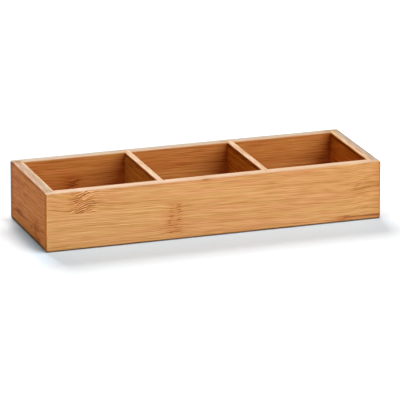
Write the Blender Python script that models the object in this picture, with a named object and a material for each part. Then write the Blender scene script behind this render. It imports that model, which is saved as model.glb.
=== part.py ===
# Three-compartment organiser tray made of laminated bamboo board.
#
# Units are metres. +X runs along the tray to its right end, +Y from the front board to the back board
# and +Z up. The origin is the middle of the underside, so the tray stands on the plane z = 0.
#
# The front and back boards run the full length. The end boards are let into rabbets at their ends, the
# dividers are let into grooves in them, and the bottom board lies in a recess routed into the underside
# of the four walls. The edges are eased after assembly, so each rounding runs on from board to board.

import math

import bmesh
import bpy
from mathutils import Vector

# Overall size
tray_length = 0.240
tray_width = 0.085
tray_height = 0.041

# Boards
wall_thickness = 0.0078
divider_thickness = 0.0047
bottom_thickness = 0.0040

# Clear length of the two outer compartments; the middle one takes what is left
left_compartment_length = 0.0727
right_compartment_length = 0.0719

# Joints. The grooves for the dividers and the rabbets for the end boards are cut to the same depth.
joint_gap = 0.0003
groove_depth = 0.0040
bottom_seat = 0.0035
bottom_corner_radius = 0.0060

# Eased edges
corner_round = 0.0016
rim_round = 0.0010
foot_round = 0.0010
opening_round = 0.0009
edge_steps = 4
corner_steps = 6

# How far every cutter runs past the face that it opens
cutter_overrun = 0.0020

# Places worked out from the sizes above
half_length = tray_length / 2
half_width = tray_width / 2
inner_half_length = half_length - wall_thickness
inner_half_width = half_width - wall_thickness
left_divider_low = -inner_half_length + left_compartment_length
right_divider_high = inner_half_length - right_compartment_length
largest_round = max(corner_round, rim_round, foot_round)

# Colours as they look, red, green and blue from 0 to 1
front_colour = (0.84, 0.61, 0.39)
back_colour = (0.80, 0.56, 0.35)
left_end_colour = (0.76, 0.51, 0.32)
right_end_colour = (0.78, 0.53, 0.33)
left_divider_colour = (0.82, 0.58, 0.37)
right_divider_colour = (0.83, 0.59, 0.37)
bottom_colour = (0.80, 0.57, 0.36)
board_roughness = 0.55


def clear_scene():
    for item in list(bpy.data.objects):
        bpy.data.objects.remove(item, do_unlink=True)


def linear(channel):
    # The sRGB curve, from a colour as it looks to the light it stands for
    if channel <= 0.04045:
        return channel / 12.92
    return ((channel + 0.055) / 1.055) ** 2.4


def bamboo_material(name, colour):
    material = bpy.data.materials.new(name)
    material.use_nodes = True
    shader = material.node_tree.nodes["Principled BSDF"]
    shader.inputs["Base Color"].default_value = [linear(channel) for channel in colour] + [1]
    shader.inputs["Roughness"].default_value = board_roughness
    shader.inputs["Metallic"].default_value = 0
    material.diffuse_color = shader.inputs["Base Color"].default_value
    return material


def add_object(name, shape, place):
    mesh = bpy.data.meshes.new(name)
    shape.to_mesh(mesh)
    shape.free()
    item = bpy.data.objects.new(name, mesh)
    item.location = place
    bpy.context.scene.collection.objects.link(item)
    return item


def block_between(name, low, high):
    # A rectangular block with its origin at its own middle
    low = Vector(low)
    high = Vector(high)
    shape = bmesh.new()
    bmesh.ops.create_cube(shape, size=1)
    bmesh.ops.scale(shape, vec=high - low, verts=shape.verts)
    return add_object(name, shape, (low + high) / 2)


def rounded_plate(name, half_x, half_y, radius, low_z, high_z):
    # A flat plate round the Z axis, with its four upright corners rounded
    shape = bmesh.new()
    outline = []
    for quarter in range(4):
        side_x = 1 if quarter in (0, 3) else -1
        side_y = 1 if quarter in (0, 1) else -1
        for step in range(corner_steps + 1):
            angle = (quarter + step / corner_steps) * math.pi / 2
            x = side_x * (half_x - radius) + radius * math.cos(angle)
            y = side_y * (half_y - radius) + radius * math.sin(angle)
            outline.append(shape.verts.new((x, y, low_z)))
    face = shape.faces.new(outline)
    raised = bmesh.ops.extrude_face_region(shape, geom=[face])
    top = [part for part in raised["geom"] if isinstance(part, bmesh.types.BMVert)]
    bmesh.ops.translate(shape, vec=(0, 0, high_z - low_z), verts=top)
    bmesh.ops.recalc_face_normals(shape, faces=shape.faces)
    return add_object(name, shape, (0, 0, 0))


def ease_outer_edges(board, sides):
    # Rounds the edges that lie on the outside of the assembled tray. sides holds, for X and for Y, the
    # signs of the directions in which the board's face is an outer face of the tray.
    sides_x, sides_y = sides
    mesh = board.data
    weights = mesh.attributes.new("bevel_weight_edge", "FLOAT", "EDGE")
    middle = board.location
    for edge in mesh.edges:
        ends = [mesh.vertices[index].co + middle for index in edge.vertices]
        centre = (ends[0] + ends[1]) / 2
        on_x = any(abs(centre.x - side * half_length) < joint_gap for side in sides_x)
        on_y = any(abs(centre.y - side * half_width) < joint_gap for side in sides_y)
        on_top = abs(centre.z - tray_height) < joint_gap
        on_foot = abs(centre.z) < joint_gap
        size = 0
        if on_x and on_y:
            size = corner_round
        elif (on_x or on_y) and on_top:
            size = rim_round
        elif (on_x or on_y) and on_foot:
            size = foot_round
        weights.data[edge.index].value = size / largest_round
    bevel = board.modifiers.new("eased_edges", "BEVEL")
    bevel.limit_method = "WEIGHT"
    bevel.offset_type = "OFFSET"
    bevel.width = largest_round
    bevel.segments = edge_steps
    bevel.use_clamp_overlap = False


def opening_cutter(name, low_x, high_x):
    # A flared block that rounds the upper edges of one compartment. Its first and last rings lie in
    # the air, in line with the first and last facets of the rounding.
    profile = []
    for step in range(edge_steps + 1):
        angle = step / edge_steps * math.pi / 2
        outward = opening_round * (1 - math.cos(angle))
        upward = tray_height - opening_round * (1 - math.sin(angle))
        profile.append(Vector((outward, upward)))
    profile.insert(0, 2 * profile[0] - profile[1])
    profile.append(2 * profile[-1] - profile[-2])
    shape = bmesh.new()
    rings = []
    for outward, upward in profile:
        corners = (
            (low_x - outward, -inner_half_width - outward, upward),
            (high_x + outward, -inner_half_width - outward, upward),
            (high_x + outward, inner_half_width + outward, upward),
            (low_x - outward, inner_half_width + outward, upward),
        )
        rings.append([shape.verts.new(corner) for corner in corners])
    shape.faces.new(list(reversed(rings[0])))
    shape.faces.new(rings[-1])
    for lower, upper in zip(rings, rings[1:]):
        for corner in range(4):
            following = (corner + 1) % 4
            shape.faces.new((lower[corner], lower[following], upper[following], upper[corner]))
    return add_object(name, shape, (0, 0, 0))


def as_cutter(item):
    item.hide_render = True
    item.display_type = "WIRE"
    return item


def cut(board, cutters):
    for cutter in cutters:
        boolean = board.modifiers.new(cutter.name, "BOOLEAN")
        boolean.operation = "DIFFERENCE"
        boolean.solver = "EXACT"
        boolean.object = cutter


def divider_span(low_x):
    return low_x, low_x + divider_thickness


def groove_cutter(name, low_x, high_x):
    # One cutter opens the groove or rabbet for a cross board in the front board and in the back board
    reach_y = inner_half_width + groove_depth + joint_gap
    low = (low_x - joint_gap, -reach_y, -cutter_overrun)
    high = (high_x + joint_gap, reach_y, tray_height + cutter_overrun)
    return as_cutter(block_between(name, low, high))


def make_long_board(name, side_y, cutters):
    # Front board with side_y = -1, back board with side_y = 1
    rows = sorted((side_y * inner_half_width, side_y * half_width))
    board = block_between(name, (-half_length, rows[0], 0), (half_length, rows[1], tray_height))
    ease_outer_edges(board, ((-1, 1), (side_y,)))
    cut(board, cutters)
    return board


def make_end_board(name, side_x, cutters):
    # Left end board with side_x = -1, right end board with side_x = 1
    columns = sorted((side_x * inner_half_length, side_x * half_length))
    reach_y = inner_half_width + groove_depth
    board = block_between(name, (columns[0], -reach_y, 0), (columns[1], reach_y, tray_height))
    ease_outer_edges(board, ((side_x,), ()))
    cut(board, cutters)
    return board


def make_divider(name, span_x, cutters):
    reach_y = inner_half_width + groove_depth
    foot = bottom_thickness + joint_gap
    board = block_between(name, (span_x[0], -reach_y, foot), (span_x[1], reach_y, tray_height))
    cut(board, cutters)
    return board


def make_bottom_board(name):
    half_x = inner_half_length + bottom_seat
    half_y = inner_half_width + bottom_seat
    return rounded_plate(name, half_x, half_y, bottom_corner_radius, 0, bottom_thickness)


def finish_piece(board, colour, parent):
    board.data.materials.append(bamboo_material(board.name + "_bamboo", colour))
    board.parent = parent


clear_scene()
tray = bpy.data.objects.new("tray", None)
bpy.context.scene.collection.objects.link(tray)

left_span = divider_span(left_divider_low)
right_span = divider_span(right_divider_high - divider_thickness)

left_opening = as_cutter(opening_cutter("left_opening", -inner_half_length, left_span[0]))
middle_opening = as_cutter(opening_cutter("middle_opening", left_span[1], right_span[0]))
right_opening = as_cutter(opening_cutter("right_opening", right_span[1], inner_half_length))
left_groove = groove_cutter("left_groove", *left_span)
right_groove = groove_cutter("right_groove", *right_span)
left_rabbet = groove_cutter("left_rabbet", -half_length - cutter_overrun, -inner_half_length)
right_rabbet = groove_cutter("right_rabbet", inner_half_length, half_length + cutter_overrun)
bottom_recess = as_cutter(rounded_plate(
    "bottom_recess",
    inner_half_length + bottom_seat + joint_gap,
    inner_half_width + bottom_seat + joint_gap,
    bottom_corner_radius + joint_gap,
    -cutter_overrun,
    bottom_thickness + joint_gap,
))

openings = [left_opening, middle_opening, right_opening]
grooves = [left_groove, right_groove, left_rabbet, right_rabbet]
front_board = make_long_board("front_board", -1, grooves + [bottom_recess] + openings)
back_board = make_long_board("back_board", 1, grooves + [bottom_recess] + openings)
left_end_board = make_end_board("left_end_board", -1, [bottom_recess, left_opening])
right_end_board = make_end_board("right_end_board", 1, [bottom_recess, right_opening])
left_divider = make_divider("left_divider", left_span, [left_opening, middle_opening])
right_divider = make_divider("right_divider", right_span, [middle_opening, right_opening])
bottom_board = make_bottom_board("bottom_board")

finish_piece(front_board, front_colour, tray)
finish_piece(back_board, back_colour, tray)
finish_piece(left_end_board, left_end_colour, tray)
finish_piece(right_end_board, right_end_colour, tray)
finish_piece(left_divider, left_divider_colour, tray)
finish_piece(right_divider, right_divider_colour, tray)
finish_piece(bottom_board, bottom_colour, tray)
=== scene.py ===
# %% [markdown]
# # A bamboo tray with three compartments
# This lesson dresses the frame of a small organiser tray: seven boards of laminated bamboo, glued into
# an open box. The frame gives every size and place. What is left to do here is the finish of the wood,
# the soft rounding of its edges, the joints between the boards, and a plain studio to see it in.
# All lengths are in metres.

# %% Load the frame
import math
from collections import namedtuple

import bmesh
import bpy
from mathutils import Matrix, Vector


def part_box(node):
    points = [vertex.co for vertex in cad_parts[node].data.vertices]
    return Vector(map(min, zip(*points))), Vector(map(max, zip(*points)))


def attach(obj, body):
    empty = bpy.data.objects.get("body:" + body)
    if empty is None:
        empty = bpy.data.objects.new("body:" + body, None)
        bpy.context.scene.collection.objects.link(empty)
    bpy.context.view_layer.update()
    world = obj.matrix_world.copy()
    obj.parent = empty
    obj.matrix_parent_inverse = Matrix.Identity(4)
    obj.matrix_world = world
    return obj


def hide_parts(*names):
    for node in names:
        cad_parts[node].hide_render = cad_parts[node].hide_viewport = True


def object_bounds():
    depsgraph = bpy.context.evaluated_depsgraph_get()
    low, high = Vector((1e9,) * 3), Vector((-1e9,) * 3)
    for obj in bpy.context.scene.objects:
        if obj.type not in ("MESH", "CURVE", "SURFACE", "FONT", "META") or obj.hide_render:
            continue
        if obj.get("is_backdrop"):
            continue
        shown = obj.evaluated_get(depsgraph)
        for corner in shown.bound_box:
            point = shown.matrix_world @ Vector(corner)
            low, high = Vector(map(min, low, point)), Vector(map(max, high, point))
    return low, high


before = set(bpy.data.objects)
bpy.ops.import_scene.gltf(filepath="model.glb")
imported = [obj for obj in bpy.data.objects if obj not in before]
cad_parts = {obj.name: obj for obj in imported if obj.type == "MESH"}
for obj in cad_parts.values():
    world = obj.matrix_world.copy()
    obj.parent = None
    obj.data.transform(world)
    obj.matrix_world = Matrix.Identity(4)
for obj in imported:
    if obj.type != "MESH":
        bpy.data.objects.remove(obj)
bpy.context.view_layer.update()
print("frame nodes:", sorted(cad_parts))

# %% [markdown]
# ## The sizes that everything else follows
# The boards of the frame are read once, and the later sizes are worked out from them. The frame keeps
# a small gap in each joint. A glued joint has no gap that the eye can see, so the dressed boards reach
# over it and leave only a hairline.

# %% Measure the boards
front_low, front_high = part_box("front_board")
back_low, back_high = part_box("back_board")
left_low, left_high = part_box("left_end_board")
right_low, right_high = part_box("right_end_board")
left_divider_low, left_divider_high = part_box("left_divider")
right_divider_low, right_divider_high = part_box("right_divider")
bottom_low, bottom_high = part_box("bottom_board")

tray_length = front_high.x - front_low.x
tray_height = front_high.z - front_low.z
wall = front_high.y - front_low.y
joint_gap = left_divider_low.z - bottom_high.z
hairline = 0.00004
reach = joint_gap - hairline


def mm(length):
    # A length in metres, written in millimetres
    return f"{length * 1000:.2f} mm"


print("tray", mm(tray_length), "long,", mm(tray_height), "high, walls", mm(wall))

# %% [markdown]
# ## The camera
# A product picture like this is taken from far away with a long lens, which keeps the long edges of the
# tray nearly parallel. The camera looks at a point near the middle of the tray from the front left and
# from a little above. The lens and the film are in millimetres, as Blender wants them. The lamps are
# aimed in the same way later, so the aiming is a function.

# %% Camera
camera_azimuth = math.radians(-19.002)
camera_elevation = math.radians(17.188)
camera_roll = math.radians(0.018)
camera_distance = 2.7696
camera_lens = 362.13
camera_film = 36
camera_range = 20
look_at = Vector((0.00414, 0.00239, 0.01167))


def view_axes(azimuth, elevation, roll=0):
    # The right, up and backward directions of a camera or a lamp, all angles in radians
    right = Vector((math.cos(azimuth), math.sin(azimuth), 0))
    back = Vector((
        math.sin(azimuth) * math.cos(elevation),
        -math.cos(azimuth) * math.cos(elevation),
        math.sin(elevation),
    ))
    up = back.cross(right)
    rolled_right = right * math.cos(roll) + up * math.sin(roll)
    rolled_up = up * math.cos(roll) - right * math.sin(roll)
    return rolled_right, rolled_up, back


def aim(holder, target, axes, distance):
    # Stands a camera or a lamp away from its target and turns it to face that target
    right, up, back = axes
    holder.matrix_world = Matrix.Translation(target + back * distance) @ Matrix((
        (right.x, up.x, back.x, 0),
        (right.y, up.y, back.y, 0),
        (right.z, up.z, back.z, 0),
        (0, 0, 0, 1),
    ))


def add_object(name, data):
    item = bpy.data.objects.new(name, data)
    bpy.context.scene.collection.objects.link(item)
    return item


camera_data = bpy.data.cameras.new("camera")
camera_data.lens = camera_lens
camera_data.sensor_width = camera_film
camera_data.clip_end = camera_range
camera = add_object("camera", camera_data)
aim(camera, look_at, view_axes(camera_azimuth, camera_elevation, camera_roll), camera_distance)
bpy.context.scene.camera = camera
bpy.context.scene.view_settings.view_transform = "Standard"
print("camera at", [mm(value) for value in camera.location])

# %% [markdown]
# ## Shader maths in plain Python
# A finish made of noise needs a lot of arithmetic, and a tree of Math nodes is hard to read. The small
# class below wraps one socket of a node tree. Adding or multiplying two wrapped sockets adds the Math
# node and returns its output, so a finish reads like a formula. Any other node comes from `make`. A Mix
# node has sockets of the same name for numbers, vectors and colours, so its colour sockets are reached
# by their numbers.

# %% A socket that can be used in a formula
mix_first = 6
mix_second = 7
mix_result = 2


class Wire:
    def __init__(self, tree, socket=None):
        self.tree = tree
        self.socket = socket

    def make(self, kind, settings=None, inputs=None, output=0):
        node = self.tree.nodes.new(kind)
        for name, value in (settings or {}).items():
            if name == "stops":
                fill_ramp(node.color_ramp, value)
            else:
                setattr(node, name, value)
        for name, value in (inputs or {}).items():
            if isinstance(value, Wire):
                self.tree.links.new(value.socket, node.inputs[name])
            else:
                node.inputs[name].default_value = value
        return Wire(self.tree, node.outputs[output])

    def other(self, output):
        # Another output of the node that this socket belongs to
        return Wire(self.tree, self.socket.node.outputs[output])

    def split(self):
        # The X, Y and Z parts of a vector
        parts = self.make("ShaderNodeSeparateXYZ", None, {"Vector": self})
        return {axis: parts.other(axis) for axis in "XYZ"}

    def feed(self, node, name):
        # Links this socket to a named input of a node that is there already
        self.tree.links.new(self.socket, node.inputs[name])

    def maths(self, operation, *values):
        return self.make("ShaderNodeMath", {"operation": operation}, dict(enumerate(values)))

    def __add__(self, other):
        return self.maths("ADD", self, other)

    def __radd__(self, other):
        return self.maths("ADD", other, self)

    def __sub__(self, other):
        return self.maths("SUBTRACT", self, other)

    def __rsub__(self, other):
        return self.maths("SUBTRACT", other, self)

    def __mul__(self, other):
        return self.maths("MULTIPLY", self, other)

    def __rmul__(self, other):
        return self.maths("MULTIPLY", other, self)

    def __neg__(self):
        return self.maths("MULTIPLY", self, -1)

    def __abs__(self):
        return self.maths("ABSOLUTE", self)

    def __gt__(self, other):
        return self.maths("GREATER_THAN", self, other)

    def rise(self, low, high):
        # 0 below low, 1 above high and a smooth step between them
        return self.make(
            "ShaderNodeMapRange",
            {"interpolation_type": "SMOOTHSTEP"},
            {"Value": self, "From Min": low, "From Max": high},
        )

    def mound(self, middle, half):
        # 1 at the middle, and down to about a third where it is half away from it
        away = (self - middle) * (1 / half)
        return self.maths("EXPONENT", -(away * away))

    def ramp(self, stops):
        # The colour that a row of stops gives for this value
        return self.make("ShaderNodeValToRGB", {"stops": stops}, {"Fac": self})

    def blend(self, first, second):
        # Mixes two colours, with this value as the share of the second
        return self.make("ShaderNodeMix", {"data_type": "RGBA"}, {
            "Factor": self, mix_first: first, mix_second: second,
        }, mix_result)

    def tinted(self, colour):
        # Multiplies this colour by another, channel by channel
        return self.make("ShaderNodeMix", {"data_type": "RGBA", "blend_type": "MULTIPLY"}, {
            "Factor": 1.0, mix_first: self, mix_second: colour,
        }, mix_result)


def fill_ramp(ramp, stops):
    # Gives a Color Ramp the stops of a list, each a place from 0 to 1 and a colour
    while len(ramp.elements) > 1:
        ramp.elements.remove(ramp.elements[-1])
    ramp.elements[0].position, ramp.elements[0].color = stops[0]
    for place, colour in stops[1:]:
        ramp.elements.new(place).color = colour


print("besides + - * > and abs:", [name for name in vars(Wire) if not name.startswith("_")])

# %% [markdown]
# ## A pale floor that fades to white
# The tray stands on a matt white sweep. The floor really receives the light, so it keeps the shadow
# under and beside the tray and throws light back at the wood. Wood throws warm light on the floor, which
# the white balance of a studio picture evens out. Here the floor's own colour is cooler close to the
# front and the left instead, and a painted shadow darkens the narrow strip beside the left end. The far
# floor is lifted to white by a little glow, and behind the two ends the glow is painted light that clears
# part of the tray's shadow. The room around is white. Only the lens meets that white, and what is
# mirrored or seen through a surface: the gloss of the wood shows it, but it casts no light.


# %% Seen as background only
def only_as_background(tree):
    # 1 for rays from the lens and for those mirrored or let through, 0 for light that falls on the tray
    seen = Wire(tree).make("ShaderNodeLightPath")
    mirrored = seen.other("Is Glossy Ray")
    let_through = seen.other("Is Transmission Ray")
    return seen.maths("MAXIMUM", seen, seen.maths("MAXIMUM", mirrored, let_through))


print("white room for: rays from the lens, mirrored rays and rays let through")

# %% [markdown]
# The floor is one flat sheet, far larger than the picture, so that no edge of it shows from any side.

# %% Floor sheet
floor_reach = 6.0
floor_roughness = 0.9


def mesh_object(name, shape):
    mesh = bpy.data.meshes.new(name)
    shape.to_mesh(mesh)
    shape.free()
    return add_object(name, mesh)


floor_shape = bmesh.new()
bmesh.ops.create_grid(floor_shape, x_segments=2, y_segments=2, size=floor_reach)
floor = mesh_object("floor", floor_shape)
floor_material = bpy.data.materials.new("matt_white_sweep")
floor_material.use_nodes = True
floor_shader = floor_material.node_tree.nodes["Principled BSDF"]
floor_shader.inputs["Roughness"].default_value = floor_roughness
floor_shader.inputs["Specular IOR Level"].default_value = 0
floor.data.materials.append(floor_material)
floor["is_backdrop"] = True
print("floor", floor_reach * 2, "m across")

# %% [markdown]
# The tint of the floor depends on how far a spot lies outside the long sides of the tray, and how far
# outside its ends, where the cool tint fades sooner. Each pair of lengths below gives the two places
# between which a tint or the glow fades in or out.

# %% Floor tint
floor_colour = (0.868, 0.903, 0.928, 1)
shaded_floor_colour = (0.750, 0.885, 0.985, 1)
painted_shadow_floor_colour = (0.505, 0.620, 0.690, 1)
end_weight = 2.2
shaded_reach = (0, 0.040)
shaded_backward = (0, 0.05)
shaded_rightward = (0.10, 0.14)
beside_reach = (0, 0.010)
beside_side = (-0.008, 0.004)
beside_backward = (0.01, 0.03)

ground = Wire(floor_material.node_tree).make("ShaderNodeTexCoord").other("Object").split()
past_side = abs(ground["Y"]) + front_low.y
past_end = abs(ground["X"]) + front_low.x
away = past_side.maths("MAXIMUM", past_side, past_end * end_weight)
shaded = (1 - away.rise(*shaded_reach)) * (1 - ground["Y"].rise(*shaded_backward))
shaded *= 1 - ground["X"].rise(*shaded_rightward)
past_left = front_low.x - ground["X"]
# A painted shadow: the floor in the narrow strip beside the left end is darkened
beside = (past_left > 0) * (1 - past_left.rise(*beside_reach)) * (1 - past_side.rise(*beside_side))
beside *= 1 - ground["Y"].rise(*beside_backward)
tint = beside.blend(shaded.blend(floor_colour, shaded_floor_colour), painted_shadow_floor_colour)
tint.feed(floor_shader, "Base Color")
print("the cool tint ends", mm(shaded_reach[1]), "from the tray")

# %% [markdown]
# The glow fades in behind the two ends, where it is painted light that clears part of the tray's shadow,
# and far out on all sides. The world behind the floor is white.

# %% Floor glow and white room
floor_glow = 0.28
glow_past_end = (0.002, 0.011)
glow_past_corner_side = (-0.006, 0.002)
glow_past_corner_end = (-0.006, 0.004)
glow_backward = (0.008, 0.034)
glow_far_out = (0.13, 0.36)

off_end = past_end.rise(*glow_past_end)
off_corner = past_side.rise(*glow_past_corner_side) * past_end.rise(*glow_past_corner_end)
# Painted light: behind the ends the glow clears part of the tray's shadow
behind_end = ground["Y"].rise(*glow_backward) * off_end.maths("MAXIMUM", off_end, off_corner)
far_out = past_side.maths("MAXIMUM", past_side, past_end).rise(*glow_far_out)
lifted = far_out.maths("MAXIMUM", far_out, behind_end) * only_as_background(floor_material.node_tree)
lifted.feed(floor_shader, "Emission Color")
floor_shader.inputs["Emission Strength"].default_value = floor_glow

world = bpy.data.worlds.new("studio")
bpy.context.scene.world = world
world.use_nodes = True
backdrop = world.node_tree.nodes["Background"]
backdrop.inputs["Strength"].default_value = 1
only_as_background(world.node_tree).feed(backdrop, "Color")
print("floor glow", floor_glow)

# %% [markdown]
# ## Soft boxes
# The key is a low soft box at the front right. It lights the long front and leaves the left end and the
# insides in shade. Two more stand further to the right, one low and one high: they reach into the
# compartments. The strongest one stands behind the tray. It brightens the rims and the floor, and throws
# the soft shadow forward, under the front edge. A weak one at the left keeps the left end from going
# black. All of them are the same round box, so a lamp is one line in a table: where it stands around the
# tray and above the floor in degrees, and its power in watts.

# %% Lamps
lamp_distance = 1.6
lamp_size = 0.8
lamps = [
    ("key_soft_box", 20, 20, 13.1),
    ("low_right_soft_box", 50, 20, 3.7),
    ("high_right_soft_box", 50, 68, 9.8),
    ("back_soft_box", 180, 45, 23.2),
    ("left_soft_box", -75, 45, 4.4),
]


def soft_box(name, azimuth, elevation, power):
    lamp = bpy.data.lights.new(name, "AREA")
    lamp.shape = "DISK"
    lamp.size = lamp_size
    lamp.energy = power
    holder = add_object(name, lamp)
    axes = view_axes(math.radians(azimuth), math.radians(elevation))
    aim(holder, Vector((0, 0, 0)), axes, lamp_distance)


for lamp_row in lamps:
    soft_box(*lamp_row)
print("lamps:", [item.name for item in bpy.data.objects if item.type == "LIGHT"])

# %% [markdown]
# ## What laminated bamboo looks like
# A board is glued edge to edge from slats about 20 mm wide. Along each slat run thin fibre bundles,
# darker than the straw-coloured wood around them. Every 15 to 30 cm the stem had a joint: there the
# fibres pinch together, swirl and turn dark for a centimetre or two.

# %% Bamboo colours
pale = (0.830, 0.505, 0.245, 1)
straw = (0.720, 0.390, 0.153, 1)
honey = (0.630, 0.303, 0.103, 1)
caramel = (0.490, 0.190, 0.048, 1)
umber = (0.235, 0.079, 0.021, 1)
wood_ramp = [(0.0, umber), (0.24, caramel), (0.50, honey), (0.78, straw), (1.0, pale)]
rosy = (1.020, 0.985, 1.000, 1)
golden = (0.985, 1.010, 0.925, 1)
knot_shade = (1.045, 0.955, 0.885, 1)
sawn_shade = (0.55, 0.48, 0.40, 1)
# A painted contact shadow for the lowest edge of the boards
painted_foot_shadow = (0.27, 0.26, 0.29, 1)
print("ramp from", umber, "to", pale)

# %% [markdown]
# ## What grew in a slat
# `Slat` says where a slat lies across its board and what can be seen in it. Its tone makes it paler or
# darker, and its seed gives it a grain of its own. A knot is the place of a joint of the stem: the fibres
# are gathered towards the middle of the slat, lifted, stirred and stained.
# Flecks are columns of short dark dashes. A smear is one soft mark, darker than the wood around it, or
# paler where its darkness is below zero. Some smears are painted shade: the long faint ones under a rim,
# those in the corners of a compartment and those at the ends of a face.

# %% Slats
Slat = namedtuple("Slat", "low high tone seed knots flecks smears", defaults=[(), (), ()])
print("a knot is", ("place along", "half length", "gather", "lift", "stir", "stain"))
print("a fleck column is", ("place along", "half length", "strength"))
print("a smear is", ("place along", "place across", "half length", "half width", "darkness"))

# %% [markdown]
# ## Noise along the grain
# A picture of wood could be wrapped round each board, but it would repeat, and it would not run on from
# face to face. Here the wood is a solid block of noise, stretched along the grain and squeezed across it,
# so the fibres that streak a face show as fine dots on a sawn end.

# %% Grain noise
noise_middle = 0.5


def grain_noise(along, lane, depth, length, width, detail=2.0):
    # Noise around 0 with marks of about the given length along the grain and width across it
    place = along.make("ShaderNodeCombineXYZ", None, {
        "X": along * (1 / length), "Y": lane * (1 / width), "Z": depth * (1 / width),
    })
    noise = place.make("ShaderNodeTexNoise", None, {"Vector": place, "Scale": 1.0, "Detail": detail})
    return noise - noise_middle


print("noise runs from", -noise_middle, "to", 1 - noise_middle)

# %% [markdown]
# ## The marks of the slats
# At any point of a board only one slat counts, so each slat's numbers are multiplied by a mask that is 1
# inside the slat and 0 outside, and then added up. A knot fades in and out along the slat. Its fibres are
# gathered over a little more length than they are stirred, and a little to one side. A glue line follows
# the lower edge of each slat but the first.

# %% Marks of the slats
knot_lead = 0.3
gather_spread = 1.2
glue_width = 0.00016


def slat_marks(slats, along, across):
    # Adds up, over all slats, what each one does at a point
    sums = {name: 0 for name in ("shift", "tone", "pull", "stir", "stain", "flecks", "glue")}
    for number, slat in enumerate(slats):
        inside = (across > slat.low) * (1 - (across > slat.high))
        sums["shift"] += inside * slat.seed
        sums["tone"] += inside * slat.tone
        from_middle = across - (slat.low + slat.high) / 2
        for centre, half, gather, lift, stir, stain in slat.knots:
            gathered = along.mound(centre - knot_lead * half, gather_spread * half) * inside
            stirred = along.mound(centre, half) * inside
            pull = from_middle * gather - (along - centre) * lift
            sums["pull"] += gathered * pull
            sums["stir"] += stirred * stir
            sums["stain"] += gathered * stain
        for centre, half, strength in slat.flecks:
            sums["flecks"] += along.mound(centre, half) * inside * strength
        if number:
            sums["glue"] = sums["glue"] + 1 - abs(across - slat.low).rise(0, glue_width)
    return sums


print("glue lines", mm(glue_width), "to each side")

# %% [markdown]
# ## A point of a board
# The finish needs to know where a point lies in its board and which way its face looks. The place comes
# from the object coordinates, split into along, across and through the board. The way the face looks
# comes from the normal: it tells the sawn ends, the rounded corners and the rims apart, with a soft step
# between them, so that the shade turns with the rounding. Knots are calmer on a rim, which is sanded
# smooth.

# %% A point of a board
sawn_turn = (0.35, 0.75)
corner_turn = (0.05, 0.25)
face_turn = (0.30, 0.90)
rim_calm = 0.8


class Spot:
    def __init__(self, tree, axes):
        coordinates = Wire(tree).make("ShaderNodeTexCoord")
        self.place = coordinates.other("Object").split()
        self.facing = coordinates.other("Normal").split()
        self.along, self.across, self.depth = (self.place[axis] for axis in axes)
        self.end_facing = self.facing[axes[0]]
        self.sawn = abs(self.end_facing).rise(*sawn_turn)
        self.turned = abs(self.end_facing).rise(*corner_turn)
        self.upward = self.facing["Z"].rise(*face_turn)
        self.quiet = 1 - self.upward * rim_calm


print("a face turns into a sawn end from", sawn_turn[0], "to", sawn_turn[1])

# %% [markdown]
# ## The path of a fibre
# The fibres follow a lane across the slat. Away from a knot the lane only drifts and leans a little. Near
# one it is drawn in and stirred. Each slat shifts the noise by its own seed, so no two slats look alike.

# %% Fibre path
drift_length = 0.055
drift_width = 0.0090
drift_size = 0.0003
grain_lean = 0.02
swirl_grain = 0.0042
swirl_size = 0.0036
knot_pull = 0.55
slat_step = 0.37


def fibre_path(spot, marks):
    # Walk is the place along the grain, bent the place across it, and lane the fibre that runs there
    walk = spot.along + marks["shift"]
    drift = grain_noise(walk, spot.across, spot.depth, drift_length, drift_width) * drift_size
    swirl = grain_noise(walk, spot.across, spot.depth, swirl_grain, swirl_grain) * swirl_size
    bent = spot.across + drift + (marks["pull"] * knot_pull + swirl * marks["stir"]) * spot.quiet
    lane = bent + marks["shift"] * slat_step + spot.along * grain_lean
    return {"walk": walk, "bent": bent, "lane": lane, "swirl": swirl}


print("fibres drift within", mm(drift_size), "and lean by", grain_lean, "of their length")

# %% [markdown]
# ## Layers of grain
# Broad tone, streaks and single fibres are the same noise at three sizes. A fourth layer curls in the
# knots, a fifth breaks the flecks into dashes, and a sixth drifts between a golden and a rosy tint. The
# table gives each layer's length, its width and how much fine detail it has.

# %% Grain layers
fleck_gap = 0.0019
layer_sizes = {
    "broad": (0.110, 0.0050, 2.0),
    "streak": (0.060, 0.00052, 1.5),
    "fibre": (0.014, 0.00040, 1.0),
    "curl": (0.0050, 0.00100, 1.0),
    "dash": (0.0050, fleck_gap, 1.0),
    "warmth": (0.030, 0.0045, 1.0),
}


def grain_layers(spot, path):
    layers = {}
    for name, size in layer_sizes.items():
        layers[name] = grain_noise(path["walk"], path["lane"], spot.depth, *size)
    return layers


for name, size in layer_sizes.items():
    print(name, "marks:", mm(size[0]), "long and", mm(size[1]), "wide")

# %% [markdown]
# ## How pale the wood is
# One number says how pale the wood is at a point, and a colour ramp turns it into a colour. It starts in
# the middle of the ramp, and the layers of grain raise and lower it. A knot adds ripples, which are a
# sine across the stirred lanes, and a stain. Flecks, glue lines and smears darken it.

# %% Paleness of the wood
middle_level = 0.50
broad_weight = 0.17
streak_weight = 0.81
stir_gain = 0.5
rim_fade = 0.35
ripple_gap = 0.0017
ripple_weight = 0.30
curl_weight = 1.5
fleck_swirl = 0.60
dash_weight = 6
dash_edges = (-0.1, 1.1)
glue_darkness = 0.10
smear_grain = 3


def wave(value, gap):
    # A sine that repeats after each gap
    return value.maths("SINE", value * (2 * math.pi / gap))


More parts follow.
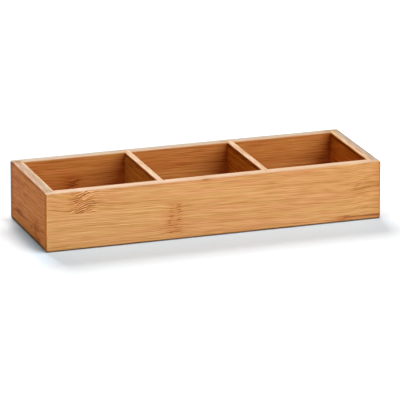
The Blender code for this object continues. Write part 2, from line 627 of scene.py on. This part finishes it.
def wood_level(spot, slats, marks, path, layers, contrast):
    walk, bent = path["walk"], path["bent"]
    stir = marks["stir"] * spot.quiet
    lines = (layers["streak"] + layers["fibre"]) * streak_weight * (1 + stir * stir_gain)
    grain = (layers["broad"] * broad_weight + lines) * (1 - spot.upward * rim_fade)
    knots = (wave(bent, ripple_gap) * ripple_weight + layers["curl"] * curl_weight) * stir
    level = middle_level + marks["tone"] + grain * contrast + knots
    rungs = wave(bent + path["swirl"] * fleck_swirl, fleck_gap)
    dashes = (rungs + layers["dash"] * dash_weight).rise(*dash_edges)
    level -= (marks["stain"] + dashes * marks["flecks"]) * spot.quiet
    level -= marks["glue"] * glue_darkness
    for slat in slats:
        for smear_along, smear_across, half_length, half_width, darkness in slat.smears:
            mark = walk.mound(smear_along + slat.seed, half_length) * bent.mound(smear_across, half_width)
            level -= mark * darkness * (1 + layers["streak"] * smear_grain)
    return level


print("streaks weigh", streak_weight, "and ripples repeat every", mm(ripple_gap))

# %% [markdown]
# ## The colour of the bare wood
# The ramp gives the colour for each level. Real bamboo isn't one hue: it wanders between golden and rosy,
# and a knot is a little redder than the wood around it, so two tints are laid over the ramp.

# %% Colour of the bare wood
warm_calm = 0.6
warm_edges = (-0.14, 0.14)
stain_full = 0.12


def wood_colour(spot, marks, layers, level):
    colour = level.ramp(wood_ramp)
    warmth = (layers["warmth"] * (1 - spot.upward * warm_calm)).rise(*warm_edges)
    colour = colour.tinted(warmth.blend(golden, rosy))
    return (marks["stain"] * spot.quiet).rise(0, stain_full).blend(colour, colour.tinted(knot_shade))


print("tints:", {"golden": golden, "rosy": rosy, "knot": knot_shade})

# %% [markdown]
# ## The shade of each face
# Over the bare wood goes the shade of each face, as a colour that it is multiplied by. The rims are paler
# and bluer, a painted sheen and painted light from above. The insides are a deeper caramel, which is
# painted shade, and the sawn ends are dull. A rim has its own row of shades from one side of the board to
# the other, and the front and back boards have a row that follows the turn of a rounded corner from one
# end of the board to the other, with painted highlights and shade on it. The lowest edge is dark, a
# painted shadow where it meets the floor. Each board could have a material for each face, but then the
# rounded edges would show a hard change of colour.

# %% Shade of a face
foot_fade = (0.5, 1.5)
under_start = (0.05, 0.50)
under_end = (0.92, 0.99)


def face_shade(spot, box, axes, shades, inward, painted_foot_shadow_height):
    shade = shades["outside"]
    if inward:
        axis, sign = inward
        # The insides take their own shade, a deeper painted shade
        shade = (spot.facing[axis] * sign).rise(*face_turn).blend(shade, shades["inside"])
    if "turn" in shades:
        # 0 where the face looks to the low end of the grain's axis, 1 where it looks to the high end
        share = spot.end_facing * 0.5 + 0.5
        # Painted highlights and shade on the rounded corners
        shade = spot.turned.blend(shade, share.ramp(shades["turn"]))
    else:
        shade = spot.sawn.blend(shade, sawn_shade)
    if "rim" in shades:
        # 0 at the low side of the board's thickness, 1 at the high side
        side = "XYZ".index(axes[2])
        share = (spot.depth - box[0][side]) * (1 / (box[1][side] - box[0][side]))
        # The rim row is a painted sheen and light from above, with painted highlights and shade at its
        # edges
        shade = spot.upward.blend(shade, share.ramp(shades["rim"]))
        under = -spot.facing["Z"]
        foot_low, foot_high = (painted_foot_shadow_height * part for part in foot_fade)
        low_edge = 1 - (spot.place["Z"] - box[0].z).rise(foot_low, foot_high)
        foot = (low_edge + under.rise(*under_start)) * (1 - under.rise(*under_end))
        # A painted contact shadow along the foot
        shade = foot.rise(0, 1).blend(shade, painted_foot_shadow)
    return shade


print("sawn ends are multiplied by", sawn_shade, "and the foot by", painted_foot_shadow)

# %% [markdown]
# ## The bamboo finish
# Everything above meets in one material for each board. Its shader gets the colour, a gloss that is
# duller on the sawn ends and on the dark fibres, and a very low relief, so that the fibres catch the
# light as they do under satin lacquer.

# %% Bamboo finish
wood_roughness = 0.48
streak_shine = 0.20
stir_dullness = 0.06
sawn_dullness = 0.15
bump_height = 0.00006
bump_strength = 0.5
fibre_relief = 0.6
streak_relief = 0.5
curl_relief = 1.2
glue_relief = 0.8


def bamboo(name, box, axes, slats, shades, inward=None, contrast=1.0, gloss=0.12, painted_foot_shadow_height=0.0012):
    material = bpy.data.materials.new(name)
    material.use_nodes = True
    shader = material.node_tree.nodes["Principled BSDF"]
    shader.inputs["Specular IOR Level"].default_value = gloss
    spot = Spot(material.node_tree, axes)
    marks = slat_marks(slats, spot.along, spot.across)
    path = fibre_path(spot, marks)
    layers = grain_layers(spot, path)
    level = wood_level(spot, slats, marks, path, layers, contrast)
    colour = wood_colour(spot, marks, layers, level)
    shade = face_shade(spot, box, axes, shades, inward, painted_foot_shadow_height)
    colour.tinted(shade).feed(shader, "Base Color")

    streak, fibre, curl = layers["streak"], layers["fibre"], layers["curl"]
    stir = marks["stir"] * spot.quiet
    shine = wood_roughness - (streak + fibre) * streak_shine + stir * stir_dullness
    (shine + spot.sawn * sawn_dullness).feed(shader, "Roughness")
    relief = fibre * fibre_relief + streak * streak_relief + curl * stir * curl_relief
    relief -= marks["glue"] * glue_relief
    relief.make("ShaderNodeBump", None, {
        "Height": relief, "Strength": bump_strength, "Distance": bump_height,
    }).feed(shader, "Normal")
    return material


print("roughness", wood_roughness, "and relief", mm(bump_height))

# %% [markdown]
# ## Plain blocks
# Each board starts as a plain block between two corners, made in code with bmesh. Its mesh keeps the
# tray's own coordinates, so the finish can read a place in the tray straight from the mesh.

# %% Blocks
def block(name, low, high):
    shape = bmesh.new()
    bmesh.ops.create_cube(shape, size=1)
    for point in shape.verts:
        point.co = Vector(
            low[axis] if point.co[axis] < 0 else high[axis] for axis in range(3)
        )
    return mesh_object(name, shape)


print("the front board starts at", [mm(value) for value in front_low])

# %% [markdown]
# ## Eased outer edges
# The tray is sanded after glueing, so its edges are rounded from board to board. A Bevel modifier rounds
# them here. Only those on the outside of the tray are eased, so its width is set with bevel weights.

# %% Eased outer edges
corner_round = 0.0016
rim_round = 0.0010
foot_round = 0.0010
ease_steps = 8


def ease_outside(piece):
    # Rounds the edges of a block that lie where two outer faces of the tray meet
    mesh = piece.data
    weights = mesh.attributes.new("bevel_weight_edge", "FLOAT", "EDGE")
    for edge in mesh.edges:
        ends = [mesh.vertices[index].co for index in edge.vertices]
        middle = (ends[0] + ends[1]) / 2
        on_end = min(abs(middle.x - front_low.x), abs(middle.x - front_high.x)) < hairline
        on_side = min(abs(middle.y - front_low.y), abs(middle.y - back_high.y)) < hairline
        size = 0
        if on_end and on_side:
            size = corner_round
        elif (on_end or on_side) and abs(middle.z - front_high.z) < hairline:
            size = rim_round
        elif (on_end or on_side) and abs(middle.z - front_low.z) < hairline:
            size = foot_round
        weights.data[edge.index].value = size / corner_round
    bevel = piece.modifiers.new("eased_edges", "BEVEL")
    bevel.limit_method = "WEIGHT"
    bevel.offset_type = "OFFSET"
    bevel.width = corner_round
    bevel.segments = ease_steps
    bevel.use_clamp_overlap = False


print("corners rounded by", mm(corner_round), "rim by", mm(rim_round), "and foot by", mm(foot_round))

# %% [markdown]
# ## The cutter for a compartment
# The rims round the compartments are eased after assembly too. One flared block for each compartment
# rounds all the boards around it at once, so the corners come out mitred, as sanding leaves them. Its
# first and last rings stand off the wood, in line with the first and last facets, so the cut runs cleanly
# past the faces.

# %% Compartment cutter
opening_round = 0.0009


def opening_cutter(name, low_x, high_x):
    # The profile is a quarter circle, as steps outward and up, and each step becomes one ring of points
    profile = []
    for step in range(ease_steps + 1):
        angle = step / ease_steps * math.pi / 2
        outward = opening_round * (1 - math.cos(angle))
        upward = front_high.z - opening_round * (1 - math.sin(angle))
        profile.append(Vector((outward, upward)))
    profile.insert(0, 2 * profile[0] - profile[1])
    profile.append(2 * profile[-1] - profile[-2])
    shape = bmesh.new()
    rings = []
    for outward, upward in profile:
        left, right = low_x - outward, high_x + outward
        near, far = front_high.y - outward, back_low.y + outward
        corners = ((left, near), (right, near), (right, far), (left, far))
        rings.append([shape.verts.new((x, y, upward)) for x, y in corners])
    shape.faces.new(list(reversed(rings[0])))
    shape.faces.new(rings[-1])
    for lower, upper in zip(rings, rings[1:]):
        for corner in range(4):
            following = (corner + 1) % 4
            shape.faces.new((lower[corner], lower[following], upper[following], upper[corner]))
    return mesh_object(name, shape)


print("compartment edges rounded by", mm(opening_round))

# %% [markdown]
# ## A plate with rounded corners
# The bottom board drops into a recess that a round router bit cuts, so both have rounded corners. The
# outline is drawn as a ring of points, filled with one face and pulled up to the thickness.

# %% Rounded plate
recess_corner = 0.0063


def rounded_plate(name, low, high, radius):
    shape = bmesh.new()
    outline = []
    steps = 2 * ease_steps
    for quarter in range(4):
        centre_x = high.x - radius if quarter in (0, 3) else low.x + radius
        centre_y = high.y - radius if quarter in (0, 1) else low.y + radius
        for step in range(steps + 1):
            angle = (quarter + step / steps) * math.pi / 2
            outline.append(shape.verts.new((
                centre_x + radius * math.cos(angle), centre_y + radius * math.sin(angle), low.z,
            )))
    face = shape.faces.new(outline)
    raised = bmesh.ops.extrude_face_region(shape, geom=[face])
    top = [part for part in raised["geom"] if isinstance(part, bmesh.types.BMVert)]
    bmesh.ops.translate(shape, vec=(0, 0, high.z - low.z), verts=top)
    bmesh.ops.recalc_face_normals(shape, faces=shape.faces)
    return mesh_object(name, shape)


print("recess corners of", mm(recess_corner))

# %% [markdown]
# ## Cut, settle and dress
# Boolean modifiers cut a board, which keeps the block and the cutters simple. Then the modifiers are
# applied, the rounds are shaded smooth and the flats stay flat. At last the board gets its finish and
# takes the place of its board in the frame.

# %% Cut, settle and dress
sharp_angle = math.radians(32)


def cut(piece, cutters):
    for cutter in cutters:
        boolean = piece.modifiers.new(cutter.name, "BOOLEAN")
        boolean.operation = "DIFFERENCE"
        boolean.solver = "EXACT"
        boolean.object = cutter


def settle(piece):
    # Applies the modifiers, then shades the rounds smooth and keeps the flats flat
    shown = piece.evaluated_get(bpy.context.evaluated_depsgraph_get())
    mesh = bpy.data.meshes.new_from_object(shown)
    piece.modifiers.clear()
    piece.data = mesh
    mesh.shade_smooth()
    mesh.set_sharp_from_angle(angle=sharp_angle)
    weighted = piece.modifiers.new("flat_faces_stay_flat", "WEIGHTED_NORMAL")
    weighted.keep_sharp = True
    print(piece.name, len(mesh.polygons), "faces")


def dress(piece, node, material):
    settle(piece)
    piece.data.materials.clear()
    piece.data.materials.append(material)
    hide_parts(node)
    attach(piece, "root")


print("edges over", round(math.degrees(sharp_angle)), "degrees stay sharp")

# %% [markdown]
# ## The cutters
# Three openings, two pairs of grooves, two pairs of rabbets and one recess are shared by the boards.
# A cutter that ended level with a face would leave a skin on it, so each runs a little past the faces
# that it opens. The cutters are only tools, so they go once the boards are cut.

# %% Cutters
cutter_overrun = 0.002
openings = [
    opening_cutter("left_opening", left_high.x, left_divider_low.x),
    opening_cutter("middle_opening", left_divider_high.x, right_divider_low.x),
    opening_cutter("right_opening", right_divider_high.x, right_low.x),
]


def groove(name, low, high):
    # The slot that a cross board leaves in the front and back boards, a hairline larger than the board
    low = (low.x - hairline, low.y - hairline, front_low.z - cutter_overrun)
    high = (high.x + hairline, high.y + hairline, front_high.z + cutter_overrun)
    return block(name, low, high)


overrun = Vector((cutter_overrun, 0, 0))
grooves = [
    groove("left_groove", left_divider_low, left_divider_high),
    groove("right_groove", right_divider_low, right_divider_high),
    groove("left_rabbet", left_low - overrun, left_high),
    groove("right_rabbet", right_low, right_high + overrun),
]
around = Vector((hairline, hairline, hairline))
recess = rounded_plate(
    "bottom_recess",
    Vector((bottom_low.x, bottom_low.y, bottom_low.z - cutter_overrun)) - around,
    bottom_high + around,
    recess_corner,
)
cutters = openings + grooves + [recess]
for cutter in cutters:
    cutter.hide_render = True
print("cutters:", [cutter.name for cutter in cutters])

# %% [markdown]
# ## The slats of the front board
# The front board carries the finish that the eye sees first: three slats, with a strong joint near the
# left end, a broken one in the middle slat and a dark edge at the lower right. Its marks are placed as
# shares of the length and height of the tray. The outer slats reach a hairline past the board, so that
# no face falls outside all slats.

# %% Front slats
front_glue_low = 0.11
front_glue_high = 0.62
whole_length = 0.3


def x_at(share):
    return front_low.x + share * tray_length


def z_at(share):
    return front_low.z + share * tray_height


def smear(x_share, z_share, half_length, half_width, darkness):
    return x_at(x_share), z_at(z_share), half_length, half_width, darkness


def painted_shade_under_rim(height, half_width, darkness):
    # A smear that runs along the whole board: painted shade just under a rim
    return 0.0, z_at(height), whole_length, half_width, darkness


# The smears at 0.997 are painted shade on the right corner, and those at 1.000 darken the right end
front_slats = [
    Slat(front_low.z - hairline, z_at(front_glue_low), tone=-0.06, seed=0.31, knots=[
        (x_at(0.890), 0.007, 0.4, 0.2, 0.6, 0.06),
    ], smears=[
        smear(0.985, 0.078, 0.020, 0.0012, 0.38),
        smear(0.900, 0.090, 0.008, 0.0009, 0.22),
        smear(0.997, 0.060, 0.0035, 0.0300, 0.08),
    ]),
    Slat(z_at(front_glue_low), z_at(front_glue_high), tone=0.01, seed=0.73, knots=[
        (x_at(0.378), 0.006, 0.25, 0.0, 0.15, 0.07),
        (x_at(0.935), 0.012, 0.2, 0.2, 0.25, 0.01),
    ], flecks=[
        (x_at(0.366), 0.0021, 0.30),
        (x_at(0.389), 0.0022, 0.34),
    ], smears=[
        smear(0.412, 0.575, 0.0055, 0.0008, 0.26),
        smear(0.380, 0.300, 0.0080, 0.0110, 0.05),
        smear(0.975, 0.590, 0.0120, 0.0009, 0.22),
        smear(0.240, 0.112, 0.0340, 0.0004, 0.16),
        smear(1.000, 0.400, 0.0140, 0.0140, 0.07),
        smear(0.660, 0.300, 0.0300, 0.0005, 0.08),
        smear(0.130, 0.430, 0.0500, 0.0090, -0.07),
        smear(0.910, 0.560, 0.0180, 0.0040, 0.06),
        smear(0.850, 0.500, 0.0400, 0.0080, 0.025),
        smear(0.997, 0.360, 0.0035, 0.0300, 0.08),
    ]),
    Slat(z_at(front_glue_high), front_high.z + hairline, tone=0.0, seed=1.83, knots=[
        (x_at(0.110), 0.0104, 0.3, 0.80, 1.08, 0.09),
        (x_at(0.940), 0.012, 0.1, 0.2, 0.22, 0.0),
    ], smears=[
        smear(0.100, 0.645, 0.0050, 0.0011, 0.20),
        smear(0.122, 0.690, 0.0034, 0.0020, 0.14),
        smear(0.128, 0.835, 0.0026, 0.0025, 0.14),
        smear(0.190, 0.700, 0.0035, 0.0018, 0.09),
        smear(0.060, 0.630, 0.0200, 0.0007, 0.16),
        smear(0.470, 0.985, 0.0030, 0.0005, 0.30),
        painted_shade_under_rim(0.978, 0.0006, 0.11),
        smear(0.675, 0.730, 0.0230, 0.0005, 0.16),
        smear(0.960, 0.640, 0.0110, 0.0010, 0.24),
        smear(1.000, 0.850, 0.0140, 0.0090, 0.06),
        smear(0.640, 0.920, 0.0280, 0.0030, 0.05),
        smear(0.890, 0.860, 0.0140, 0.0040, 0.05),
        smear(0.900, 0.830, 0.0420, 0.0080, 0.04),
        smear(0.997, 0.800, 0.0035, 0.0300, 0.09),
    ]),
]
print("front slats:", [mm(slat.high - slat.low) for slat in front_slats])

# %% [markdown]
# ## The slats of the back board
# Only the upper part of the back board's inside can be seen from the front. It has a stained joint in the
# left compartment. The corners of the compartments are a little darker than the lamps alone make them,
# so soft smears darken most of them.

# %% Back slats
back_glue_low = 0.18
back_glue_high = 0.668
back_slats = [
    Slat(back_low.z - hairline, z_at(back_glue_low), tone=-0.03, seed=2.11, knots=[
        (x_at(0.300), 0.008, 0.5, 0.2, 0.6, 0.08),
    ]),
    Slat(z_at(back_glue_low), z_at(back_glue_high), tone=0.0, seed=2.63, knots=[
        (x_at(0.180), 0.005, 0.5, 0.0, 0.7, 0.14),
    ], flecks=[
        (x_at(0.180), 0.0035, 0.26),
    ], smears=[
        smear(0.180, 0.56, 0.0040, 0.0040, 0.12),
        smear(0.170, 0.52, 0.0160, 0.0070, 0.13),
        smear(0.512, 0.52, 0.0280, 0.0055, -0.33),
        smear(0.815, 0.49, 0.0200, 0.0035, -0.30),
        smear(0.940, 0.49, 0.0070, 0.0080, 0.36),
        smear(0.300, 0.43, 0.0060, 0.0050, 0.18),
        smear(0.632, 0.47, 0.0060, 0.0070, 0.24),
    ]),
    Slat(z_at(back_glue_high), back_high.z + hairline, tone=0.02, seed=3.07, smears=[
        smear(0.440, back_glue_high, 0.0300, 0.0007, 0.26),
        smear(0.220, back_glue_high, 0.0240, 0.0007, 0.28),
        smear(0.330, 0.800, 0.0060, 0.0180, 0.10),
        smear(0.180, 0.720, 0.0160, 0.0016, 0.14),
        smear(0.065, 0.780, 0.0055, 0.0035, 0.14),
        smear(0.388, 0.740, 0.0045, 0.0050, 0.14),
        smear(0.790, 0.850, 0.0500, 0.0050, -0.03),
        smear(0.648, 0.800, 0.0050, 0.0180, 0.14),
        smear(0.968, 0.800, 0.0065, 0.0180, 0.35),
    ]),
]
print("back slats:", [mm(slat.high - slat.low) for slat in back_slats])

# %% [markdown]
# ## The shades of the long boards
# The rows of shades for the turn of a corner and for a rim are the stops of a colour ramp. On the front,
# the turn paints a highlight on the left corner and shade on the left end and towards the right corner;
# the back's left end is darkened by painted shade. A rim is paler and bluer, a painted sheen and painted
# light from above, with painted highlights and shade along its edges, so the blue of a rim is raised
# most.

# %% Shades of the long boards
front_shades = {
    "outside": (1.000, 1.017, 1.091, 1),
    "inside": (0.739, 0.589, 0.409, 1),
    # Painted shade on the left end, a painted highlight on the left corner, painted shade towards the
    # right
    "turn": [
        (0.05, (0.78, 0.48, 0.14, 1)),
        (0.13, (0.95, 0.71, 0.41, 1)),
        (0.28, (1.32, 1.31, 1.28, 1)),
        (0.44, (1.00, 1.02, 1.09, 1)),
        (0.51, (1.00, 1.02, 1.09, 1)),
        (0.57, (0.79, 0.90, 1.10, 1)),
        (0.70, (0.54, 0.64, 0.77, 1)),
        (0.90, (0.50, 0.56, 0.63, 1)),
    ],
    # Painted sheen and light from above
    "rim": [
        (0.00, (0.95, 1.26, 2.20, 1)),
        (0.50, (1.05, 1.43, 2.66, 1)),
        (0.86, (1.00, 1.37, 2.50, 1)),
        (1.00, (0.89, 1.17, 2.08, 1)),
    ],
}
back_shades = {
    "outside": (0.97, 0.92, 0.85, 1),
    # Painted shade on the inside, the face seen through the compartments
    "inside": (0.806, 0.628, 0.408, 1),
    # End grain, darkened further by painted shade at the left end
    "turn": [
        (0.15, (0.41, 0.37, 0.38, 1)),
        (0.85, (0.55, 0.48, 0.40, 1)),
    ],
    # Painted sheen and light from above
    "rim": [
        (0.00, (0.87, 1.16, 2.02, 1)),
        (0.35, (0.79, 1.10, 2.15, 1)),
        (0.60, (0.69, 1.09, 2.25, 1)),
        (1.00, (0.73, 1.13, 2.41, 1)),
    ],
}
print("shades of a long board:", list(front_shades))

# %% [markdown]
# ## The front and back boards
# They run the full length, so their sawn ends show at the corners of the tray. The edges are eased first,
# while the board is a plain block, and then the grooves, the recess and the openings are cut. In the call
# for the bamboo, three letters name the axes along the grain, across the slats and through the board,
# and the last pair says which way the inside faces.

# %% Front and back
back_contrast = 1.3


def wall_board(name, node, box, tools, material):
    piece = block(name, *box)
    ease_outside(piece)
    cut(piece, tools)
    dress(piece, node, material)


long_tools = grooves + [recess] + openings
front_box = (front_low, front_high)
front_bamboo = bamboo("front_bamboo", front_box, "XZY", front_slats, front_shades, ("Y", 1))
wall_board("front_board_dressed", "front_board", front_box, long_tools, front_bamboo)
back_box = (back_low, back_high)
back_bamboo = bamboo("back_bamboo", back_box, "XZY", back_slats, back_shades, ("Y", -1),
                     contrast=back_contrast)
wall_board("back_board_dressed", "back_board", back_box, long_tools, back_bamboo)

# %% [markdown]
# ## The shades of the end boards
# The left end is a deeper caramel, which is painted shade on the side that looks away from the key. Its
# rim has painted shade along the outer edge, where it turns into that face, and a painted highlight along
# the inner one, where it is palest.

# %% Shades of the end boards
left_shades = {
    # Painted shade: this face looks away from the key
    "outside": (0.977, 0.648, 0.342, 1),
    "inside": (0.880, 0.640, 0.300, 1),
    # Painted shade at the outer edge, painted sheen in the middle, painted highlight at the inner edge
    "rim": [
        (0.00, (0.34, 0.34, 0.40, 1)),
        (0.09, (0.94, 1.18, 2.39, 1)),
        (0.20, (0.99, 1.29, 2.65, 1)),
        (0.36, (0.75, 1.11, 2.28, 1)),
        (0.66, (0.77, 1.12, 2.31, 1)),
        (0.82, (1.14, 1.66, 3.10, 1)),
        (1.00, (1.21, 1.85, 3.72, 1)),
    ],
}
right_shades = {
    "outside": (0.95, 0.75, 0.55, 1),
    # Painted shade on the inside face seen from the front
    "inside": (0.850, 0.522, 0.140, 1),
    "rim": [
        # Painted sheen and light from above, with painted highlights and shade at its edges
        (0.00, (0.98, 1.29, 1.99, 1)),
        (0.13, (1.27, 1.90, 3.47, 1)),
        (0.40, (0.85, 1.35, 3.12, 1)),
        (0.62, (0.85, 1.38, 3.38, 1)),
        (0.78, (0.64, 1.22, 3.08, 1)),
        (1.00, (0.62, 1.19, 3.08, 1)),
    ],
}
print("shades of an end board:", list(left_shades))

# %% [markdown]
# ## The slats of the end boards
# The grain of an end board runs from front to back, so its marks are placed along Y. Each end is glued
# from two slats.

# %% Slats of the end boards
left_glue = 0.42
right_glue = 0.55
left_slats = [
    Slat(left_low.z - hairline, z_at(left_glue), tone=0.0, seed=4.13, knots=[
        (left_low.y + 0.020, 0.006, 0.6, 0.2, 0.7, 0.05),
    ], smears=[
        (-0.0170, z_at(0.200), 0.0024, 0.0038, 0.30),
        (-0.0080, z_at(0.200), 0.0026, 0.0013, 0.30),
        (-0.0245, z_at(0.060), 0.0050, 0.0016, 0.28),
        (-0.0190, z_at(0.350), 0.0040, 0.0009, 0.22),
        (0.0215, z_at(0.235), 0.0095, 0.0012, 0.55),
        (0.0020, z_at(0.320), 0.0090, 0.0015, -0.14),
        # Painted shade along the far edge of the left face
        (0.0375, z_at(0.200), 0.0035, 0.0600, 0.22),
        (0.0180, z_at(0.230), 0.0140, 0.0090, 0.03),
    ]),
    Slat(z_at(left_glue), left_high.z + hairline, tone=0.0, seed=4.71, smears=[
        (0.0080, z_at(0.500), 0.0035, 0.0008, 0.28),
        (0.0070, z_at(0.640), 0.0040, 0.0007, 0.24),
        painted_shade_under_rim(0.976, 0.0008, 0.30),
        (-0.0120, z_at(0.845), 0.0100, 0.0015, -0.09),
        (0.0220, z_at(0.760), 0.0120, 0.0050, 0.15),
        # Painted shade along the far edge of the left face
        (0.0375, z_at(0.700), 0.0035, 0.0600, 0.22),
        (0.0140, z_at(0.700), 0.0160, 0.0120, 0.035),
    ]),
]
right_slats = [
    Slat(right_low.z - hairline, z_at(right_glue), tone=0.0, seed=5.29, knots=[
        (right_high.y - 0.022, 0.007, 0.6, 0.2, 0.7, 0.06),
    ]),
    Slat(z_at(right_glue), right_high.z + hairline, tone=-0.06, seed=5.83, smears=[
        painted_shade_under_rim(0.958, 0.0014, 0.42),
    ]),
]
print("end slats:", len(left_slats), "at the left and", len(right_slats), "at the right")

# %% [markdown]
# ## The end boards
# They stand in the rabbets of the long boards. They have more contrast in the grain, less gloss and a
# wider painted shadow at the foot than those.

# %% Ends
end_contrast = 1.7
end_gloss = 0.02
end_painted_foot_shadow_height = 0.0019


def end_board(name, node, box, slats, shades, inward):
    material = bamboo(name + "_bamboo", box, "YZX", slats, shades, inward,
                      contrast=end_contrast, gloss=end_gloss, painted_foot_shadow_height=end_painted_foot_shadow_height)
    wall_board(name, node, box, [recess] + openings, material)


left_box = (left_low, left_high)
end_board("left_end_dressed", "left_end_board", left_box, left_slats, left_shades, ("X", 1))
right_box = (right_low, right_high)
end_board("right_end_dressed", "right_end_board", right_box, right_slats, right_shades, ("X", -1))

# %% [markdown]
# ## The dividers
# Two thinner boards stand in the grooves, level with the rim. Each is a plain block that the openings on
# both sides round off. It reaches down over the small gap that the frame keeps above the bottom board.

# %% Dividers
divider_contrast = 2.0
divider_gloss = 0.03
divider_glue = 0.5
divider_seed_step = 0.6
# A divider's rim row: painted sheen and light from above, with painted highlights at its edges
divider_rim_sheen = [
    (0.00, (0.94, 1.31, 2.54, 1)),
    (0.14, (1.23, 1.74, 3.36, 1)),
    (0.28, (1.18, 1.70, 3.30, 1)),
    (0.50, (1.04, 1.49, 2.84, 1)),
    (0.75, (1.15, 1.67, 3.26, 1)),
    (0.88, (1.14, 1.61, 3.16, 1)),
    (1.00, (0.88, 1.21, 2.24, 1)),
]


def divider(name, node, low, high, seed, tone, side_shade):
    piece = block(name, (low.x, low.y, low.z - reach), (high.x, high.y, high.z))
    cut(piece, openings)
    slats = [
        Slat(low.z - joint_gap, z_at(divider_glue), tone=0.0, seed=seed),
        Slat(z_at(divider_glue), high.z + hairline, tone=tone, seed=seed + divider_seed_step, smears=[
            painted_shade_under_rim(0.958, 0.0014, 0.46),
        ]),
    ]
    shades = {"outside": side_shade, "rim": divider_rim_sheen}
    material = bamboo(name + "_bamboo", (low, high), "YZX", slats, shades,
                      contrast=divider_contrast, gloss=divider_gloss)
    dress(piece, node, material)


# The side shades are painted shade: the faces seen from the front look away from the key
divider("left_divider_dressed", "left_divider", left_divider_low, left_divider_high,
        seed=6.37, tone=0.06, side_shade=(0.84, 0.66, 0.28, 1))
divider("right_divider_dressed", "right_divider", right_divider_low, right_divider_high,
        seed=7.41, tone=0.00, side_shade=(0.75, 0.48, 0.11, 1))

# %% [markdown]
# ## The bottom board
# A thin panel with rounded corners, let into the underside. Only the floors of the compartments and the
# underside show it. Its slats are all of one width, so a loop lays them side by side, by turns a little
# paler and a little darker, each with its knot further along.

# %% Bottom
bottom_count = 4
bottom_tone = 0.03
bottom_seed = 8.0
bottom_seed_step = 0.57
bottom_knot_start = 0.15
bottom_knot_step = 0.23
bottom_knot = (0.008, 0.7, 0.3, 0.8, 0.06)
bottom_shades = {"outside": (0.92, 0.80, 0.66, 1)}

bottom_board = rounded_plate("bottom_board_dressed", bottom_low, bottom_high, recess_corner - joint_gap)
bottom_width = bottom_high.y - bottom_low.y
bottom_slats = []
for number in range(bottom_count):
    bottom_slats.append(Slat(
        bottom_low.y + bottom_width * number / bottom_count,
        bottom_low.y + bottom_width * (number + 1) / bottom_count,
        tone=bottom_tone * (-1) ** number,
        seed=bottom_seed + bottom_seed_step * number,
        knots=[(x_at(bottom_knot_start + bottom_knot_step * number), *bottom_knot)],
    ))
bottom_bamboo = bamboo("bottom_bamboo", (bottom_low, bottom_high), "XYZ", bottom_slats, bottom_shades)
dress(bottom_board, "bottom_board", bottom_bamboo)
for cutter in cutters:
    bpy.data.objects.remove(cutter, do_unlink=True)

# %% [markdown]
# ## The size of the dressed tray
# The dressed tray has to stay inside the frame's box, so its box is printed.

# %% Sizes
dressed_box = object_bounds()
print("dressed box", [[mm(value) for value in corner] for corner in dressed_box])
